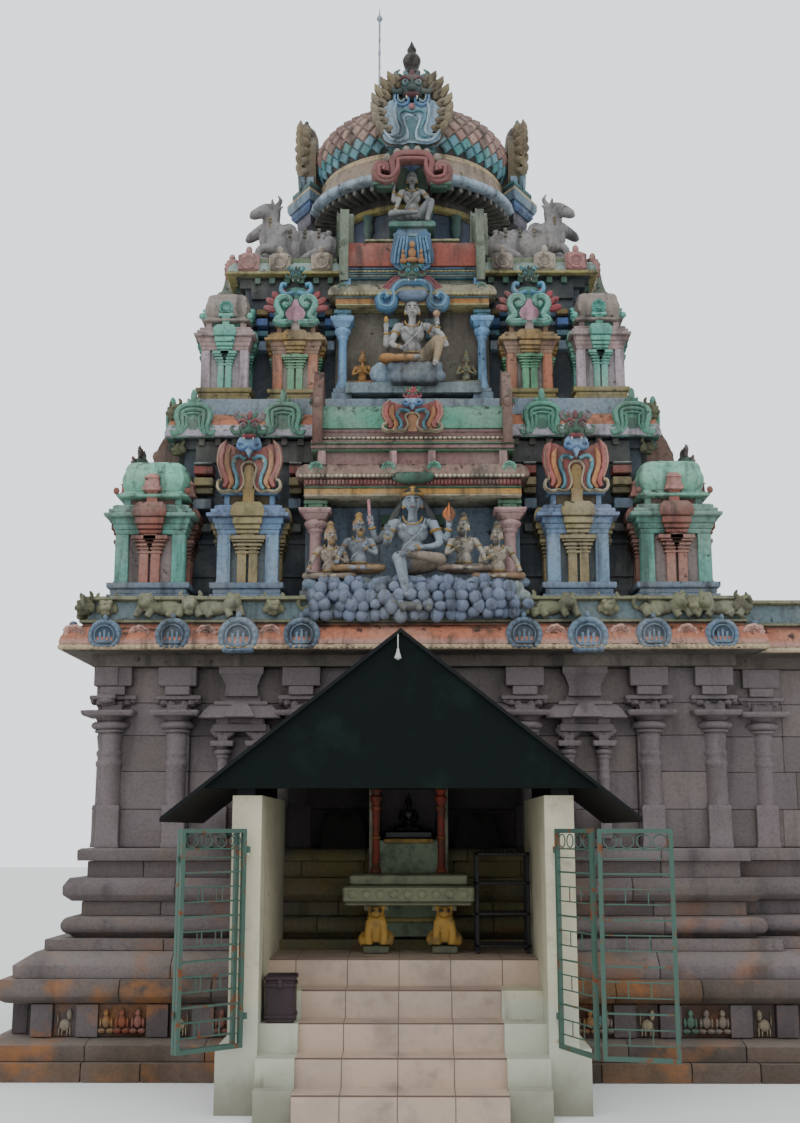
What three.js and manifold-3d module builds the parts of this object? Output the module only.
// A shrine tower of painted plaster over a carved stone wall, with a gated porch on its front.
// Millimetres, +Z up. The tower's axis is X = 0, Y = 0 at ground level, and its front faces -Y.
import * as THREE from "three";
import { mergeVertices } from "three/addons/utils/BufferGeometryUtils.js";
import Module from "manifold-3d";

const wasm = await Module();
wasm.setup();

// Levels of the stone part and of the painted storeys
const PLINTH_TOP = 770;
const FLOOR = 1820;
const DOOR_HEAD = 3100;
const WALL_TOP = 3410;
const CORNICE_TOP = 3790;
const FRIEZE_TOP = 4030;
const STOREY_2_FLOOR = 6130;
const STOREY_2_TOP = 7550;
const PLATFORM = 7780;
const NECK_TOP = 8900;
const DOME_FOOT = 9380;
const DOME_TOP = 10250;
const FINIAL_TOP = 11400;
const ROD_TOP = 12050;

// Plan of the wall, the inner chamber and the adjoining hall
const WALL_HALF = 2700;
const BAY_HALF = 2770;
const PILASTER_FACE = 2840;
const OUTER_HALF = 2820;
const CHAMBER_HALF = 1620;
const DOOR_HALF = 500;
const HALL_END = 4600;
const HALL_SET_BACK = 270;
const HALL_OUTER = OUTER_HALF - HALL_SET_BACK;
const HALL_INNER = 1950;
const HALL_DOOR_HALF = 600;
const END_WALL = 250;
const NICHE = { x0: -290, x1: 210, back: 2450, sill: 1900, head: 2330 };

// Plan of the two storeys and the platform
const STOREY_1 = { floor: FRIEZE_TOP, core: 2250, corner: 2420, cornerHalf: 405, cornerRise: 1390 };
const STOREY_2 = { floor: STOREY_2_FLOOR, core: 1760, corner: 1870, cornerHalf: 295, cornerRise: 1210 };
const STOREY_1_TOP = 5680;
const SIDE_SHRINE_1 = { centre: 1520, half: 355, face: 2760, rise: 1470, mask: 1820 };
const SIDE_SHRINE_2 = { centre: 1170, half: 310, face: 2120, rise: 1130, mask: 1400 };
const CENTRE_1 = { half: 1060, pier: 190, face: 2720, opening: 980, rise: 1300, roof: 1940 };
const CENTRE_2 = { half: 820, pier: 150, face: 2110, opening: 1000, rise: 1240, roof: 1790 };

// Porch, measured from its own middle line
const PORCH_X = -90;
const PORCH_LEFT = { out: -1325, in: -1110 };
const PORCH_RIGHT = { out: 1175, in: 960 };
const PORCH_FRONT = -4840;
const PORCH_WALL_TOP = 2220;
const STEP_RISE = 200;
const STEP_GOING = 270;
const STEPS = 5;
const STEP_HALF = 745;
const FIRST_NOSING = -5180;
const LANDING_FRONT = FIRST_NOSING + (STEPS - 1) * STEP_GOING;
const LANDING_TOP = STEPS * STEP_RISE;
const ROOF_RIDGE = 3440;
const ROOF_HALF = 1740;
const ROOF_DROP = 1380;
const ROOF_SHEET = 32;
const ROOF_FRONT = -5000;

// Gate leaves, drawn closed: a wide leaf on the post and a narrower one folding onto its face
const HINGE_Y = -4905;
const HINGE_LEFT_X = -1195;
const HINGE_RIGHT_X = 1024;
const LEAF_BOTTOM = 470;
const LEAF_TOP = 1980;
const LEAF_START = 24;
const LEAF_WIDTH_END = 572;
const FOLD_OFFSET = 12;
const FOLD_FACE = -17.5;
const HALF_OPENING = 1104.5;
const STILE = 30;
const LEAF_PANELS = 5;
const LEFT_OPENED = 138;
const LEFT_FOLDED = 180;
const RIGHT_OPENED = 111;
const RIGHT_FOLDED = 57;

const CLEAR = 0.3;
const GRID = 100;

function finish(color, roughness, metalness = 0) {
  return new THREE.MeshStandardMaterial({ color, roughness, metalness });
}

const stone = finish("#70686a", 0.9);
const brownStone = finish("#6d5c50", 0.92);
const terracotta = finish("#b98572", 0.85);
const olive = finish("#7f8464", 0.88);
const slateBlue = finish("#49545f", 0.88);
const teal = finish("#5b9a8e", 0.82);
const pink = finish("#b07a74", 0.85);
const seaGreen = finish("#78a08d", 0.84);
const lilac = finish("#8e8d97", 0.86);
const figureGrey = finish("#9a9ea3", 0.84);
const scaleBrown = finish("#9b7468", 0.84);
const darkBronze = finish("#2c2d30", 0.6, 0.4);
const steelRod = finish("#8a9096", 0.5, 0.7);
const cream = finish("#c9c6b1", 0.85);
const marble = finish("#b7a79b", 0.5);
const roofSheet = finish("#23272a", 0.7, 0.3);
const boardGreen = finish("#22312f", 0.65);
const blackStone = finish("#17171a", 0.45);
const altarGreen = finish("#8d937b", 0.8);
const darkIron = finish("#2a2623", 0.6, 0.5);
const gatePaint = finish("#5f9a86", 0.55, 0.2);
const boxBrown = finish("#33241f", 0.6);

// Turns a three.js geometry into a closed solid, with corners on a fine grid and faces outwards
function solid(geometry) {
  const bare = geometry.clone();
  for (const name of Object.keys(bare.attributes)) {
    if (name !== "position") bare.deleteAttribute(name);
  }
  const place = bare.attributes.position.array;
  for (let i = 0; i < place.length; i += 1) place[i] = Math.round(place[i] * GRID) / GRID;
  const merged = mergeVertices(bare, 0.001);
  const points = merged.attributes.position;
  const corners = [];
  const a = new THREE.Vector3();
  const b = new THREE.Vector3();
  const c = new THREE.Vector3();
  let volume = 0;
  for (let i = 0; i < merged.index.count; i += 3) {
    const [p, q, r] = [0, 1, 2].map((k) => merged.index.getX(i + k));
    if (p === q || q === r || r === p) continue;
    corners.push([p, q, r]);
    volume += a.fromBufferAttribute(points, p)
      .dot(b.fromBufferAttribute(points, q).cross(c.fromBufferAttribute(points, r)));
  }
  const triVerts = Uint32Array.from(corners.flatMap(([p, q, r]) => (volume > 0 ? [p, q, r] : [p, r, q])));
  return new wasm.Manifold(new wasm.Mesh({ numProp: 3, vertProperties: points.array, triVerts }));
}

// Joins parts, takes cuts away and keeps what lies inside the region, if one is given
function carved(parts, cuts = [], region = null) {
  let mass = solid(parts[0]);
  for (const part of parts.slice(1)) mass = mass.add(solid(part));
  for (const cut of cuts) mass = mass.subtract(solid(cut));
  if (region) mass = mass.intersect(solid(region));
  const mesh = mass.getMesh();
  const geometry = new THREE.BufferGeometry();
  geometry.setAttribute("position", new THREE.BufferAttribute(Float32Array.from(mesh.vertProperties), 3));
  geometry.setIndex(Array.from(mesh.triVerts));
  geometry.computeVertexNormals();
  return geometry;
}

const shrine = new THREE.Group();

function addPiece(name, material, parts, cuts = [], region = null, parent = shrine) {
  const piece = new THREE.Mesh(carved(parts, cuts, region), material);
  piece.name = name;
  parent.add(piece);
  return piece;
}

function block(x0, x1, y0, y1, z0, z1) {
  const geometry = new THREE.BoxGeometry(x1 - x0, y1 - y0, z1 - z0);
  return geometry.translate((x0 + x1) / 2, (y0 + y1) / 2, (z0 + z1) / 2);
}

function extruded(outline, depth) {
  const shape = new THREE.Shape(outline.map(([u, v]) => new THREE.Vector2(u, v)));
  return new THREE.ExtrudeGeometry(shape, { depth, bevelEnabled: false });
}

// An outline of [x, z] points carried from y0 to y1
function alongY(outline, y0, y1) {
  return extruded(outline, y1 - y0).rotateX(Math.PI / 2).translate(0, y1, 0);
}

// An outline of [y, z] points carried from x0 to x1
function alongX(outline, x0, x1) {
  const turn = new THREE.Matrix4().set(0, 0, 1, x0, 1, 0, 0, 0, 0, 1, 0, 0, 0, 0, 0, 1);
  return extruded(outline, x1 - x0).applyMatrix4(turn);
}

// A profile of [half width, height] points turned into a mass of square plan
function squareMass(profile) {
  const points = profile.map(([half, z]) => new THREE.Vector2(half * Math.SQRT2, z));
  return new THREE.LatheGeometry(points, 4, Math.PI / 4).rotateX(Math.PI / 2);
}

// A profile of [radius, height] points turned into a round mass
function roundMass(profile, sides) {
  const points = profile.map(([radius, z]) => new THREE.Vector2(radius, z));
  return new THREE.LatheGeometry(points, sides, Math.PI / sides).rotateX(Math.PI / 2);
}

function rod(x, y, z0, z1, radius, sides = 8) {
  return roundMass([[0, z0], [radius, z0], [radius, z1], [0, z1]], sides).translate(x, y, 0);
}

function ball(x, y, z, rx, ry, rz) {
  return new THREE.SphereGeometry(1, 8, 6).rotateX(Math.PI / 2).scale(rx, ry, rz).translate(x, y, z);
}

function quarterTurned(parts, quarters) {
  return parts.map((part) => part.clone().rotateZ((quarters * Math.PI) / 2));
}

function onSides(parts, sides = [0, 1, 2, 3]) {
  return sides.flatMap((quarters) => quarterTurned(parts, quarters));
}

function mirrored(parts) {
  return parts.flatMap((part) => [part, part.clone().scale(-1, 1, 1)]);
}

// A moulding profile that goes round the tower and on along the hall, set back at its sides
function courseWithHall(profile) {
  const right = profile.map(([half, z]) => [half - HALL_SET_BACK, z]);
  const inner = right.filter(([half]) => half > 0);
  const outline = [...inner, ...inner.slice().reverse().map(([half, z]) => [-half, z])];
  return [squareMass(profile), alongX(outline, 0, HALL_END)];
}

// Stone plinth: two courses, a recess for small relief panels and a rounded ledge
const plinthProfile = [
  [0, 0], [3600, 0], [3600, 150], [3520, 150], [3520, 280], [3400, 300], [3300, 310], [3300, 570],
  [3360, 580], [3450, 640], [3450, 690], [3400, PLINTH_TOP], [0, PLINTH_TOP],
];
addPiece("plinth_courses", brownStone, courseWithHall(plinthProfile));

// Base mouldings up to the floor: sloped courses, a round roll, an eave roll and thin bands
const baseProfile = [
  [0, PLINTH_TOP], [3330, PLINTH_TOP], [3330, 880], [3180, 980], [3120, 980], [3120, 1070],
  [3020, 1070], [2960, 1100], [3010, 1135], [3025, 1175], [3010, 1215], [2960, 1250], [2880, 1250], [2880, 1370],
  [2950, 1380], [3020, 1430], [3020, 1500], [2960, 1570], [2850, 1570], [2850, 1710],
  [2930, 1730], [2930, 1800], [2900, FLOOR], [0, FLOOR],
];
addPiece("base_mouldings", stone, courseWithHall(baseProfile));

// Wall relief of one side: bays, pilasters with capitals, and two small shrine frames
function wallRelief() {
  const face = (x0, x1, depth, z0, z1) => block(x0, x1, -depth, -WALL_HALF + 40, z0, z1);
  const pilaster = (x, half) => [
    face(x - half, x + half, PILASTER_FACE, FLOOR, WALL_TOP),
    face(x - half * 1.7, x + half * 1.7, PILASTER_FACE + 60, 2990, DOOR_HEAD),
  ];
  const bays = [
    face(2000, BAY_HALF, BAY_HALF, FLOOR, WALL_TOP),
    face(0, 1130, BAY_HALF, FLOOR, WALL_TOP),
  ];
  const shrineFrame = [
    face(1530 - 300, 1530 + 300, BAY_HALF, FLOOR, 2800),
    alongY([[1230, 2800], [1830, 2800], [1880, 2990], [1700, 3130], [1360, 3130], [1180, 2990]],
      -PILASTER_FACE - 40, -WALL_HALF + 40),
    alongY([[1400, 3130], [1660, 3130], [1830, WALL_TOP], [1230, WALL_TOP]],
      -PILASTER_FACE, -WALL_HALF + 40),
  ];
  const posts = [2700, 2110, 1000].flatMap((x) => pilaster(x, 85));
  return mirrored([...bays, ...posts, ...shrineFrame]);
}

// The wall stands as one ring and is divided into its stretches of masonry
function wallStretch(name, region, sides) {
  const ring = squareMass([[0, FLOOR], [WALL_HALF, FLOOR], [WALL_HALF, WALL_TOP], [0, WALL_TOP]]);
  const party = block(WALL_HALF - 100, OUTER_HALF, -OUTER_HALF, OUTER_HALF, FLOOR, WALL_TOP);
  const chamber = squareMass([
    [0, FLOOR - 50], [CHAMBER_HALF, FLOOR - 50], [CHAMBER_HALF, WALL_TOP + 50], [0, WALL_TOP + 50],
  ]);
  const nicheHole = block(NICHE.x0, NICHE.x1, -PILASTER_FACE - 100, -NICHE.back, NICHE.sill, NICHE.head);
  addPiece(name, stone, [ring, party, ...onSides(wallRelief(), sides)], [chamber, nicheHole], region);
}

const FAR = 3000;
const CENTRE_BAY = 1150;
wallStretch("front_wall_left", block(-FAR, -CENTRE_BAY, -FAR, -CHAMBER_HALF, FLOOR, WALL_TOP), [0, 3]);
wallStretch("front_wall_centre", block(-CENTRE_BAY, CENTRE_BAY, -FAR, -CHAMBER_HALF, FLOOR, WALL_TOP), [0]);
wallStretch("front_wall_right", block(CENTRE_BAY, FAR, -FAR, -CHAMBER_HALF, FLOOR, WALL_TOP), [0]);
wallStretch("back_wall", block(-FAR, FAR, CHAMBER_HALF, FAR, FLOOR, WALL_TOP), [2, 3]);
wallStretch("left_wall", block(-FAR, 0, -CHAMBER_HALF, CHAMBER_HALF, FLOOR, WALL_TOP), [3]);
addPiece("right_wall_front", stone,
  [block(CHAMBER_HALF, OUTER_HALF, -CHAMBER_HALF, -DOOR_HALF, FLOOR, WALL_TOP)]);
addPiece("right_wall_back", stone,
  [block(CHAMBER_HALF, OUTER_HALF, DOOR_HALF, CHAMBER_HALF, FLOOR, WALL_TOP)]);
addPiece("right_door_lintel", stone,
  [block(CHAMBER_HALF, OUTER_HALF, -DOOR_HALF, DOOR_HALF, DOOR_HEAD, WALL_TOP)]);

// One bay of the adjoining hall, closed by a plain end wall with a doorway
const endWallX = HALL_END - END_WALL;
addPiece("hall_front_wall", stone,
  [block(OUTER_HALF, HALL_END, -HALL_OUTER, -HALL_INNER, FLOOR, WALL_TOP)]);
addPiece("hall_back_wall", stone,
  [block(OUTER_HALF, HALL_END, HALL_INNER, HALL_OUTER, FLOOR, WALL_TOP)]);
addPiece("hall_end_front", stone,
  [block(endWallX, HALL_END, -HALL_INNER, -HALL_DOOR_HALF, FLOOR, WALL_TOP)]);
addPiece("hall_end_back", stone,
  [block(endWallX, HALL_END, HALL_DOOR_HALF, HALL_INNER, FLOOR, WALL_TOP)]);
addPiece("hall_end_lintel", stone,
  [block(endWallX, HALL_END, -HALL_DOOR_HALF, HALL_DOOR_HALF, DOOR_HEAD, WALL_TOP)]);

// Rounded main cornice and the frieze of beasts over it
const corniceProfile = [
  [0, WALL_TOP], [2880, WALL_TOP], [2880, 3510], [3140, 3530], [3140, 3600], [3100, 3680],
  [3010, 3750], [2930, CORNICE_TOP], [0, CORNICE_TOP],
];
const friezeProfile = [
  [0, CORNICE_TOP], [2990, CORNICE_TOP], [2990, 3820], [2930, 3840], [2930, 3990],
  [2990, 4000], [2990, FRIEZE_TOP], [0, FRIEZE_TOP],
];
addPiece("main_cornice", terracotta, courseWithHall(corniceProfile));
addPiece("beast_frieze", olive, courseWithHall(friezeProfile));

// A horseshoe gable: an outline that swells over a narrow foot and ends in a point
function horseshoe(centre, foot, width, top) {
  const radius = width / 2;
  const middle = foot + radius * 0.8;
  const points = [];
  for (let step = 0; step <= 10; step += 1) {
    const angle = ((-50 + step * 28) * Math.PI) / 180;
    const lift = step === 5 ? top - middle - radius : 0;
    points.push([centre + radius * Math.cos(angle), middle + radius * Math.sin(angle) + lift]);
  }
  points.push([centre - radius * 0.6, foot], [centre + radius * 0.6, foot]);
  return points;
}

// A small shrine with one horseshoe gable, standing against the core
function sideShrine(storey, spec) {
  const { centre, half, face, rise, mask } = spec;
  const z = (share) => storey.floor + rise * share;
  const back = -storey.core + 60;
  const shrineBlock = (reach, depth, low, high) =>
    block(centre - half * reach, centre + half * reach, -depth, back, z(low), z(high));
  const maskHalf = half * 0.28;
  const maskFoot = z(0.97);
  const maskTop = storey.floor + mask;
  const maskOutline = [
    [centre - maskHalf, maskFoot], [centre + maskHalf, maskFoot],
    [centre + maskHalf * 1.2, maskTop - 120], [centre, maskTop], [centre - maskHalf * 1.2, maskTop - 120],
  ];
  return [
    shrineBlock(0.93, face, 0, 0.11),
    shrineBlock(0.76, face - 60, 0.1, 0.5),
    shrineBlock(1, face + 20, 0.49, 0.585),
    shrineBlock(0.6, face - 60, 0.58, 0.68),
    alongY(horseshoe(centre, z(0.66), half * 1.6, z(1)), -face, -face + 260),
    alongY(maskOutline, -face - 10, -face + 130),
  ];
}

// The middle shrine of a side: two piers, an eave over them and a barrel roof lying along the side
function centreShrine(storey, spec) {
  const { half, pier, face, opening, rise, roof } = spec;
  const z = (height) => storey.floor + height;
  const back = -storey.core + 60;
  const roofMiddle = face - 150;
  const barrel = [];
  for (let step = 0; step <= 8; step += 1) {
    const angle = (step * Math.PI) / 8;
    const reach = 150 * Math.cos(angle);
    barrel.push([-roofMiddle + reach, z(rise + 220) + (roof - rise - 220) * Math.sin(angle)]);
  }
  const roofHalf = half * 0.83;
  const gable = [[0, 0], [150, 0], [170, 160], [0, (roof - rise) * 0.72 + 200], [-170, 160], [-150, 0]]
    .map(([y, height]) => [-roofMiddle + y, z(rise + 140) + height]);
  return [
    ...mirrored([
      block(half - pier - 60, half - 60, -face, back, z(0), z(opening + 20)),
      block(half - pier - 90, half - 30, -face - 30, back, z(0), z(150)),
      alongX(gable, roofHalf - 20, roofHalf + 60),
    ]),
    block(-half + 50, half - 50, -face, back, z(opening), z(rise - 150)),
    block(-half, half, -face - 60, back, z(rise - 160), z(rise)),
    block(-half * 0.85, half * 0.85, -face + 30, -face + 290, z(rise - 10), z(rise + 230)),
    alongX(barrel, -roofHalf, roofHalf),
    alongY(horseshoe(0, z(rise + 20), half * 0.5, z(roof + 40)), -face - 20, -face + 100),
  ];
}

// A corner shrine: square base, body, eave, neck and bulging dome with its finial
function cornerShrine(half, rise) {
  const shares = [
    [0.93, 0], [0.93, 0.1], [0.82, 0.12], [0.82, 0.42], [0.9, 0.43], [0.9, 0.52], [1, 0.535],
    [1, 0.57], [0.88, 0.625], [0.7, 0.64], [0.7, 0.72], [0.92, 0.735], [0.92, 0.77], [0.84, 0.79],
    [0.94, 0.85], [0.86, 0.92], [0.58, 0.98], [0.2, 1], [0.16, 1.06], [0.1, 1.12],
  ];
  const profile = shares.map(([reach, height]) => [half * reach, rise * height]);
  return squareMass([[0, 0], ...profile, [0, rise * 1.15]]);
}

// The core of a storey with its side shrines, notched where the corner shrines stand
function storeyParts(storey, top) {
  const core = squareMass([[0, storey.floor], [storey.core, storey.floor], [storey.core, top], [0, top]]);
  const spec = storey === STOREY_1 ? SIDE_SHRINE_1 : SIDE_SHRINE_2;
  return [core, ...onSides(mirrored(sideShrine(storey, spec)))];
}

function cornerNotches(storey, top) {
  const inner = storey.corner - storey.cornerHalf - 1;
  const notch = block(inner, inner + 2000, inner, inner + 2000, storey.floor - 10, top + 10);
  return onSides([notch]);
}

function addCornerShrines(prefix, storey, material) {
  const corners = [["front_left", -1, -1], ["front_right", 1, -1], ["back_left", -1, 1], ["back_right", 1, 1]];
  for (const [place, x, y] of corners) {
    const shrinePiece = addPiece(`${prefix}_${place}`, material,
      [cornerShrine(storey.cornerHalf, storey.cornerRise)]);
    shrinePiece.position.set(x * storey.corner, y * storey.corner, storey.floor);
  }
}

const sideNames = ["front", "right", "back", "left"];

addPiece("storey_1_core", slateBlue, storeyParts(STOREY_1, STOREY_1_TOP), cornerNotches(STOREY_1, STOREY_1_TOP));
sideNames.forEach((side, quarters) => {
  const parts = centreShrine({ ...STOREY_1, core: STOREY_1.core + 60.3 }, CENTRE_1);
  addPiece(`storey_1_centre_${side}`, pink, quarterTurned(parts, quarters));
});
addCornerShrines("storey_1_corner", STOREY_1, teal);

// Eaves over storey 1, which carry storey 2
const storey1Cornice = [
  [0, STOREY_1_TOP], [2260, STOREY_1_TOP], [2390, 5720], [2390, 5790], [2340, 5890], [2240, 5950],
  [2200, 5960], [2200, STOREY_2_FLOOR], [0, STOREY_2_FLOOR],
];
addPiece("storey_1_eaves", seaGreen, [squareMass(storey1Cornice)]);

const ALCOVE_2_BACK = 1890;
const alcovePanel = block(-CENTRE_2.half + 100, CENTRE_2.half - 100, -ALCOVE_2_BACK, -STOREY_2.core + 60,
  STOREY_2_FLOOR, STOREY_2_FLOOR + CENTRE_2.opening + 20);
const centre2Parts = onSides([...centreShrine(STOREY_2, CENTRE_2), alcovePanel]);
addPiece("storey_2_core", slateBlue, [...storeyParts(STOREY_2, STOREY_2_TOP), ...centre2Parts],
  [...cornerNotches(STOREY_2, STOREY_2_TOP),
    squareMass([[0, STOREY_2_TOP], [1915, STOREY_2_TOP], [1915, 9000], [0, 9000]])]);
addCornerShrines("storey_2_corner", STOREY_2, pink);

// A lying bull along X with its chest at -X; its head can be turned about the neck
function bull(length, body, rise, headTurn) {
  const neckX = -0.3 * length;
  const neck = [[-0.17, 0.08], [-0.13, 0.4], [-0.09, 0.74], [0.02, 0.78], [0.1, 0.6], [0.24, 0.36], [0.2, 0.1]];
  const head = [[-0.31, 0.6], [-0.33, 0.68], [-0.13, 0.86], [0.0, 0.88], [0.06, 0.8], [0.0, 0.64], [-0.2, 0.56]];
  const horn = [[-0.04, 0.84], [0.02, 0.84], [0.03, 0.95], [-0.01, 1], [-0.03, 0.92]];
  const scaled = (outline) => outline.map(([x, z]) => [x * length, z * rise]);
  const turned = [
    alongY(scaled(head), -0.07 * length, 0.07 * length),
    ...[-0.1, 0.06].map((y) => alongY(scaled(horn), y * length, (y + 0.04) * length)),
  ].map((part) => part.rotateZ(headTurn).translate(neckX, 0, 0));
  return [
    ball(0.06 * length, 0, 0.5 * body, 0.4 * length, 0.18 * length, 0.52 * body),
    ball(-0.13 * length, 0, 0.98 * body, 0.1 * length, 0.08 * length, 0.24 * body),
    alongY(scaled(neck), -0.08 * length, 0.08 * length).translate(neckX, 0, 0),
    block(-0.42 * length, 0.46 * length, -0.18 * length, 0.18 * length, -2, 0.2 * body),
    ...turned,
  ];
}

function placedBull(x, y, turn, headTurn) {
  return bull(940, 440, 820, headTurn).map((part) => part.rotateZ(turn).translate(x, y, PLATFORM));
}

// Eaves over storey 2 with the platform, and the bulls lying at its corners
const storey2Eaves = [
  [0, STOREY_2_TOP], [1780, STOREY_2_TOP], [1910, 7590], [1910, 7660], [1850, 7740],
  [1790, PLATFORM], [0, PLATFORM],
];
const QUARTER = Math.PI / 2;
const bulls = [[-1, -1], [1, -1], [-1, 1], [1, 1]].flatMap(([x, y]) => [
  ...placedBull(x * 1190, y * 1520, x < 0 ? 0 : Math.PI, x * y * QUARTER / 2),
  ...placedBull(x * 1520, y * 830, y * -QUARTER, x * y < 0 ? QUARTER : -QUARTER),
]);
addPiece("platform_with_bulls", lilac, [squareMass(storey2Eaves), ...bulls]);

// Round neck, the eaves that ring it with a porch on each side, and the dome
const neckProfile = [
  [0, PLATFORM], [980, PLATFORM], [980, 7900], [850, 7930], [850, NECK_TOP], [0, NECK_TOP],
];
addPiece("neck", slateBlue, [roundMass(neckProfile, 24)]);

const neckEaves = [
  [0, NECK_TOP], [900, NECK_TOP], [1180, 8980], [1220, 9020], [1220, 9070], [1120, 9200],
  [1060, 9300], [1060, DOME_FOOT], [0, DOME_FOOT],
];
// Stepped corbels of diamond plan under each gable of the dome
const corbelFoot = [[0, 8760], [220, 8760], [220, 8850]];
const corbelHead = [
  [300, 8950], [300, 9030], [420, 9060], [420, 9120], [500, 9160], [500, 9240], [400, 9260], [400, DOME_FOOT],
  [0, DOME_FOOT],
];
const CORBEL_REACH = 0.6;
function corbel(profile) {
  const points = profile.map(([halfDiagonal, z]) => new THREE.Vector2(halfDiagonal, z));
  return new THREE.LatheGeometry(points, 4).rotateX(Math.PI / 2).scale(1, CORBEL_REACH, 1).translate(0, -1180, 0);
}
const neckEavesParts = [
  roundMass(neckEaves, 24),
  ...onSides([corbel([[0, 8900], [260, 8900], ...corbelHead])], [0, 1, 3]),
  ...onSides([corbel([...corbelFoot, ...corbelHead])], [2]),
];
addPiece("neck_eaves", teal, neckEavesParts,
  [roundMass([[0, 8700], [850 + CLEAR, 8700], [850 + CLEAR, NECK_TOP], [0, NECK_TOP]], 24)]);

const domeProfile = [
  [0, DOME_FOOT], [1040, DOME_FOOT], [1110, 9480], [1145, 9600], [1140, 9720], [1090, 9840], [980, 9960],
  [800, 10050], [560, 10140], [320, 10200], [190, DOME_TOP], [0, DOME_TOP],
];
const domeGable = [
  alongY(horseshoe(0, DOME_FOOT, 800, 10100), -1330, -900),
  alongY([[-100, 10030], [100, 10030], [150, 10160], [0, 10280], [-150, 10160]], -1400, -900),
];
addPiece("dome", scaleBrown, [roundMass(domeProfile, 24), ...onSides(domeGable)]);

const finialProfile = [
  [0, DOME_TOP], [180, DOME_TOP], [200, 10300], [110, 10370], [80, 10420], [130, 10480], [165, 10570],
  [165, 10680], [110, 10780], [70, 10830], [70, 10900], [100, 10950], [80, 11000], [112, 11120],
  [85, 11190], [50, 11220], [58, 11270], [30, 11330], [0, FINIAL_TOP],
];
addPiece("finial", darkBronze, [roundMass(finialProfile, 12)]);

// The rod's foot meets the dome's shoulder where it stands
const ROD_X = -400;
const ROD_Y = 300;
const ROD_FOOT = 10158.6;
addPiece("lightning_rod", steelRod, [
  rod(ROD_X, ROD_Y, ROD_FOOT, ROD_TOP - 60, 15),
  roundMass([[0, ROD_TOP - 170], [40, ROD_TOP - 150], [40, ROD_TOP - 100], [0, ROD_TOP]], 8)
    .translate(ROD_X, ROD_Y, 0),
]);

// A seated figure as stacked rings: lap, waist, chest, neck, head and hair knot
function seatedFigure(x, y, z, rise, width, sides = 8, depth = 0.7) {
  const shares = [
    [0, 0], [0.5, 0], [0.5, 0.14], [0.24, 0.24], [0.2, 0.34], [0.3, 0.54], [0.26, 0.62], [0.11, 0.66],
    [0.17, 0.74], [0.17, 0.84], [0.13, 0.9], [0, 1],
  ];
  const profile = shares.map(([reach, height]) => [width * reach, rise * height]);
  return roundMass(profile, sides).scale(1, depth, 1).translate(x, y, z);
}

// The teacher on a rock with two listeners each side
const ROCK_TOP = 4190;
const rockOutline = [
  [-3130, 3800], [-2990 - CLEAR, 3800], [-2990 - CLEAR, FRIEZE_TOP], [-2755, FRIEZE_TOP],
  [-2755, ROCK_TOP - 10], [-3060, ROCK_TOP], [-3130, 4080],
];
const teacherParts = [
  alongX(rockOutline, -940, 940),
  block(-770, 770, -2800, -2450, FRIEZE_TOP, ROCK_TOP - 20),
  seatedFigure(0, -2800, ROCK_TOP - 30, 900, 620),
  ...mirrored([
    seatedFigure(410, -2860, ROCK_TOP - 30, 520, 380, 6),
    seatedFigure(735, -2900, ROCK_TOP - 30, 500, 380, 6),
    block(60, 300, -2830, -2770, 4450, 4530),
    block(250, 310, -2830, -2770, 4450, 4800),
  ]),
  block(-60, 60, -3000, -2890, 4150, 4330),
];
addPiece("teacher_group", figureGrey, teacherParts);

addPiece("storey_2_figure", figureGrey, [
  block(-430, 430, -2190, -ALCOVE_2_BACK - CLEAR, STOREY_2_FLOOR, STOREY_2_FLOOR + 150),
  seatedFigure(0, -2040, STOREY_2_FLOOR + 140, 840, 560, 8, 0.5),
  ...mirrored([seatedFigure(360, -2040, STOREY_2_FLOOR + 140, 330, 200, 6)]),
]);

["neck_figure", "neck_figure_right", "neck_figure_left"].forEach((name, index) => {
  const figure = [block(-300, 300, -1350, -990, PLATFORM, 8180), seatedFigure(0, -1170, 8170, 690, 480)];
  addPiece(name, figureGrey, onSides(figure, [[0], [1], [3]][index]));
});

// Porch side walls, stepped round the stone mouldings, with the brackets that carry the gates
function againstBase(top) {
  return [
    [PORCH_FRONT, 0], [-3600 - CLEAR, 0], [-3600 - CLEAR, PLINTH_TOP + CLEAR],
    [-3330 - CLEAR, PLINTH_TOP + CLEAR], [-3330 - CLEAR, 1070 + CLEAR], [-3025 - CLEAR, 1070 + CLEAR],
    [-3025 - CLEAR, top], [PORCH_FRONT, top],
  ];
}

const BRACKET_LEVELS = [640, 1790];
const BRACKET_RISE = 20;
const PIN_RISE = 70;

function gateBrackets(hingeX) {
  return BRACKET_LEVELS.flatMap((z) => [
    block(hingeX - 12, hingeX + 12, HINGE_Y - 10, PORCH_FRONT + 10, z, z + BRACKET_RISE),
    rod(hingeX, HINGE_Y, z + 10, z + PIN_RISE, 8),
  ]);
}

function porchWall(name, side, hingeX) {
  const [x0, x1] = [side.out, side.in].sort((p, q) => p - q);
  const footOut = side.out + Math.sign(side.out) * 85;
  const [f0, f1] = [footOut, side.in].sort((p, q) => p - q);
  addPiece(name, cream, [
    alongX(againstBase(PORCH_WALL_TOP), x0, x1),
    block(f0, f1, PORCH_FRONT, -3700, 0, 450),
    ...gateBrackets(hingeX),
  ]);
}

porchWall("porch_wall_left", PORCH_LEFT, HINGE_LEFT_X);
porchWall("porch_wall_right", PORCH_RIGHT, HINGE_RIGHT_X);

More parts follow.
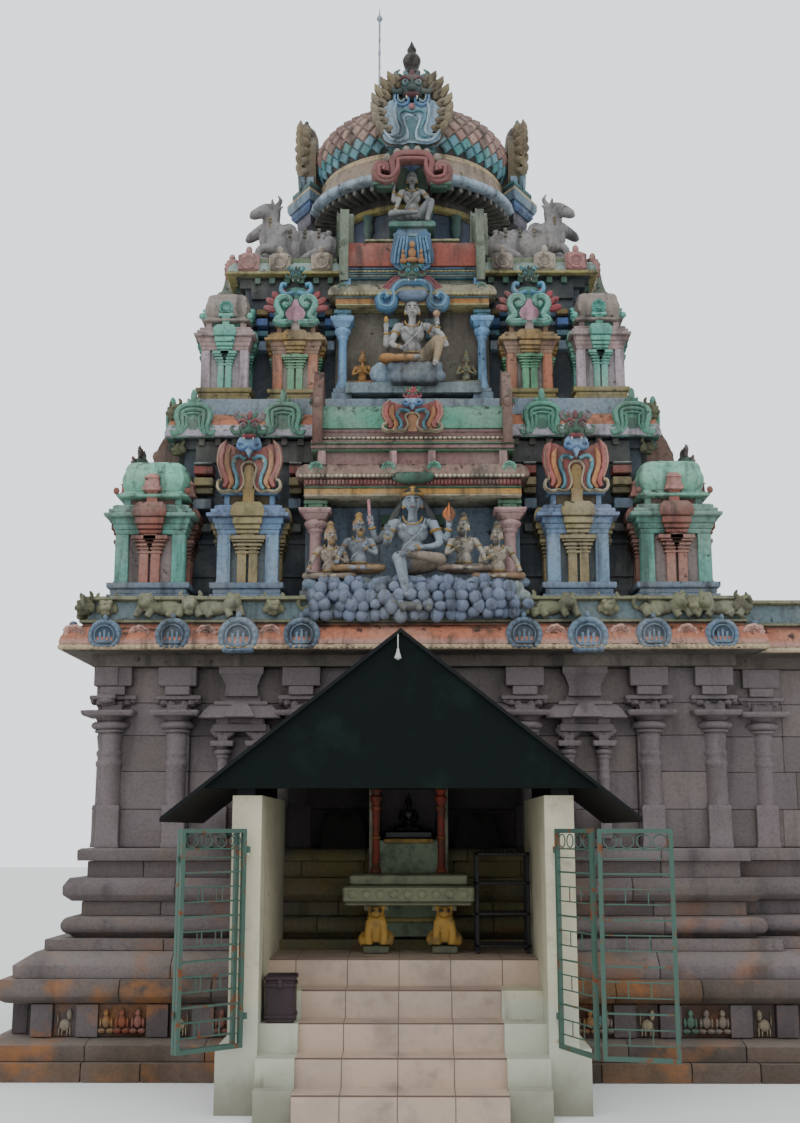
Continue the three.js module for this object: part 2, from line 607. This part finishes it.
// Flight of marble steps, then the landing with the stepped cheeks beside the flight
const stairOutline = [[LANDING_FRONT, 0], [FIRST_NOSING, 0]];
for (let step = 0; step < STEPS - 1; step += 1) {
  const y = FIRST_NOSING + step * STEP_GOING;
  const z = (step + 1) * STEP_RISE;
  stairOutline.push([y, z], [y + STEP_GOING, z]);
}
const stairX0 = PORCH_X - STEP_HALF;
const stairX1 = PORCH_X + STEP_HALF;
addPiece("stair_flight", marble, [alongX(stairOutline, stairX0, stairX1)]);

const landingOutline = [
  [LANDING_FRONT, 0], [-3600 - CLEAR, 0], [-3600 - CLEAR, PLINTH_TOP + CLEAR],
  [-3330 - CLEAR, PLINTH_TOP + CLEAR], [-3330 - CLEAR, LANDING_TOP], [LANDING_FRONT, LANDING_TOP],
];
addPiece("landing", marble, [alongX(landingOutline, PORCH_LEFT.in, PORCH_RIGHT.in)]);

const cheekOutline = [
  [LANDING_FRONT, 0], [-5080, 0], [-5080, 210], [-4960, 210], [-4960, 400], [-4700, 400],
  [-4700, 600], [-4430, 600], [-4430, 800], [LANDING_FRONT, 800],
];
addPiece("cheek_left", cream, [alongX(cheekOutline, PORCH_LEFT.in, stairX0)]);
addPiece("cheek_right", cream, [alongX(cheekOutline, stairX1, PORCH_RIGHT.in)]);

// Thin metal roof on two wall plates, and the board that closes its gable
function roofUnderside(x) {
  return ROOF_RIDGE - ROOF_SHEET - Math.abs(x - PORCH_X) * (ROOF_DROP / ROOF_HALF);
}
const ROOF_BACK = -2910;
const sheetOutline = [
  [PORCH_X, ROOF_RIDGE], [PORCH_X - ROOF_HALF, ROOF_RIDGE - ROOF_DROP],
  [PORCH_X - ROOF_HALF, ROOF_RIDGE - ROOF_DROP - ROOF_SHEET], [PORCH_X, ROOF_RIDGE - ROOF_SHEET],
  [PORCH_X + ROOF_HALF, ROOF_RIDGE - ROOF_DROP - ROOF_SHEET], [PORCH_X + ROOF_HALF, ROOF_RIDGE - ROOF_DROP],
];
function wallPlate(x0, x1) {
  const outline = [
    [x0, PORCH_WALL_TOP], [x1, PORCH_WALL_TOP], [x1, roofUnderside(x1) + 10], [x0, roofUnderside(x0) + 10],
  ];
  return alongY(outline, PORCH_FRONT, -3200);
}
addPiece("porch_roof", roofSheet, [
  alongY(sheetOutline, ROOF_FRONT, ROOF_BACK), wallPlate(-1290, -1160), wallPlate(1010, 1140),
]);

const BOARD_FOOT = 2270;
const boardHalf = ((ROOF_RIDGE - ROOF_SHEET - BOARD_FOOT) * ROOF_HALF) / ROOF_DROP - 1;
addPiece("gable_board", boardGreen, [
  alongY([[PORCH_X - boardHalf, BOARD_FOOT], [PORCH_X + boardHalf, BOARD_FOOT],
    [PORCH_X, ROOF_RIDGE - ROOF_SHEET - 1]], -4960, PORCH_FRONT - CLEAR),
]);

// Altar table on two supports, and the framed niche with its black image behind
const ALTAR_Y = -3760;
addPiece("altar_table", altarGreen, [
  block(-570, 490, ALTAR_Y, -3350, 1400, 1530),
  block(-520, 440, ALTAR_Y + 80, -3350, 1520, 1620),
  ...[-300, 250].map((x) => block(x - 105, x + 105, ALTAR_Y + 60, ALTAR_Y + 300, LANDING_TOP, 1410)),
]);

const nicheMiddle = (NICHE.x0 + NICHE.x1) / 2;
const frameOutline = [
  [-3120, 1070 + CLEAR], [-3025 - CLEAR, 1070 + CLEAR], [-3025 - CLEAR, FLOOR + CLEAR],
  [-2905, FLOOR + CLEAR], [-2905, 2400], [-3120, 2400],
];
addPiece("niche_frame", pink, [alongX(frameOutline, nicheMiddle - 340, nicheMiddle + 340)],
  [block(NICHE.x0, NICHE.x1, -3200, -2800, NICHE.sill, NICHE.head)]);
addPiece("niche_image", blackStone, [
  block(NICHE.x0 + 40, NICHE.x1 - 40, -2800, -2460, NICHE.sill, 1960),
  seatedFigure(nicheMiddle, -2640, 1955, 360, 330),
]);

// Offering box on the left cheek and a small iron stand beside the altar
addPiece("offering_box", boxBrown, [block(-1085, -855, -4690, -4440, 600, 930)]);
const standParts = [block(500, 940, -3700, -3400, 1780, 1810)];
for (const x of [500, 910]) {
  for (const y of [-3700, -3430]) standParts.push(block(x, x + 30, y, y + 30, LANDING_TOP, 1790));
}
standParts.push(block(510, 930, -3690, -3410, 1300, 1320));
addPiece("iron_stand", darkIron, standParts);

// One gate leaf from start to end, with rails, stiles and a few bars
function leafFrame(start, end) {
  const [front, back] = [-STILE / 2, STILE / 2];
  const rail = (z0, z1) => block(start, end, front, back, z0, z1);
  const parts = [
    block(start, start + STILE, front, back, LEAF_BOTTOM, LEAF_TOP),
    block(end - STILE, end, front, back, LEAF_BOTTOM, LEAF_TOP),
    rail(LEAF_BOTTOM, LEAF_BOTTOM + STILE),
    rail(LEAF_TOP - STILE, LEAF_TOP),
  ];
  for (let bar = 1; bar < LEAF_PANELS; bar += 1) {
    const z = LEAF_BOTTOM + ((LEAF_TOP - LEAF_BOTTOM) * bar) / LEAF_PANELS;
    parts.push(block(start + 10, end - 10, -6, 6, z - 6, z + 6));
  }
  return parts;
}

function eye(x, y, z, outer, hole, rise) {
  const [z0, z1] = [z + CLEAR, z + rise];
  return roundMass([[hole, z0], [outer, z0], [outer, z1], [hole, z1], [hole, z0]], 8).translate(x, y, 0);
}

const FOLD_X = LEAF_WIDTH_END + FOLD_OFFSET;
const FOLD_LEVELS = [700, 1740];
const LUG_RISE = 15;

function postLeafParts() {
  const eyes = BRACKET_LEVELS.flatMap((z) => [
    eye(0, 0, z + BRACKET_RISE, 16, 9.5, 45),
    block(12, LEAF_START + 5, -6, 6, z + BRACKET_RISE + CLEAR, z + BRACKET_RISE + 45),
  ]);
  const lugs = FOLD_LEVELS.flatMap((z) => [
    rod(FOLD_X, FOLD_FACE, z, z + LUG_RISE, 6),
    rod(FOLD_X, FOLD_FACE, z + 5, z + 55, 4),
    alongXY([[LEAF_WIDTH_END - 5, -14], [FOLD_X, FOLD_FACE - 4], [FOLD_X, FOLD_FACE + 5],
      [LEAF_WIDTH_END - 5, -4]], z, z + LUG_RISE),
  ]);
  return [...leafFrame(LEAF_START, LEAF_WIDTH_END), ...eyes, ...lugs];
}

// An outline of [x, y] points carried from z0 to z1
function alongXY(outline, z0, z1) {
  return extruded(outline, z1 - z0).translate(0, 0, z0);
}

// The folding leaf is drawn from its own hinge line
function foldLeafParts() {
  const start = FOLD_OFFSET;
  const end = HALF_OPENING - FOLD_X;
  const frame = leafFrame(start, end).map((part) => part.translate(0, -FOLD_FACE, 0));
  const eyes = FOLD_LEVELS.flatMap((z) => [
    eye(0, 0, z + LUG_RISE, 9, 5.2, 35),
    block(5.5, start + 4, 0.5, 8, z + LUG_RISE + CLEAR, z + LUG_RISE + 35),
  ]);
  return [...frame, ...eyes];
}

function addGate(side, hingeX, mirror, opened, folded) {
  const flip = (parts) => parts.map((part) => part.scale(mirror, 1, 1));
  const postLeaf = new THREE.Group();
  postLeaf.position.set(hingeX, HINGE_Y, 0);
  postLeaf.rotation.z = THREE.MathUtils.degToRad(-mirror * opened);
  addPiece(`gate_${side}_post_leaf`, gatePaint, flip(postLeafParts()), [], null, postLeaf);
  const foldLeaf = new THREE.Group();
  foldLeaf.position.set(mirror * FOLD_X, FOLD_FACE, 0);
  foldLeaf.rotation.z = THREE.MathUtils.degToRad(-mirror * folded);
  addPiece(`gate_${side}_fold_leaf`, gatePaint, flip(foldLeafParts()), [], null, foldLeaf);
  postLeaf.add(foldLeaf);
  shrine.add(postLeaf);
}

addGate("left", HINGE_LEFT_X, 1, LEFT_OPENED, LEFT_FOLDED);
addGate("right", HINGE_RIGHT_X, -1, RIGHT_OPENED, RIGHT_FOLDED);

export default shrine;
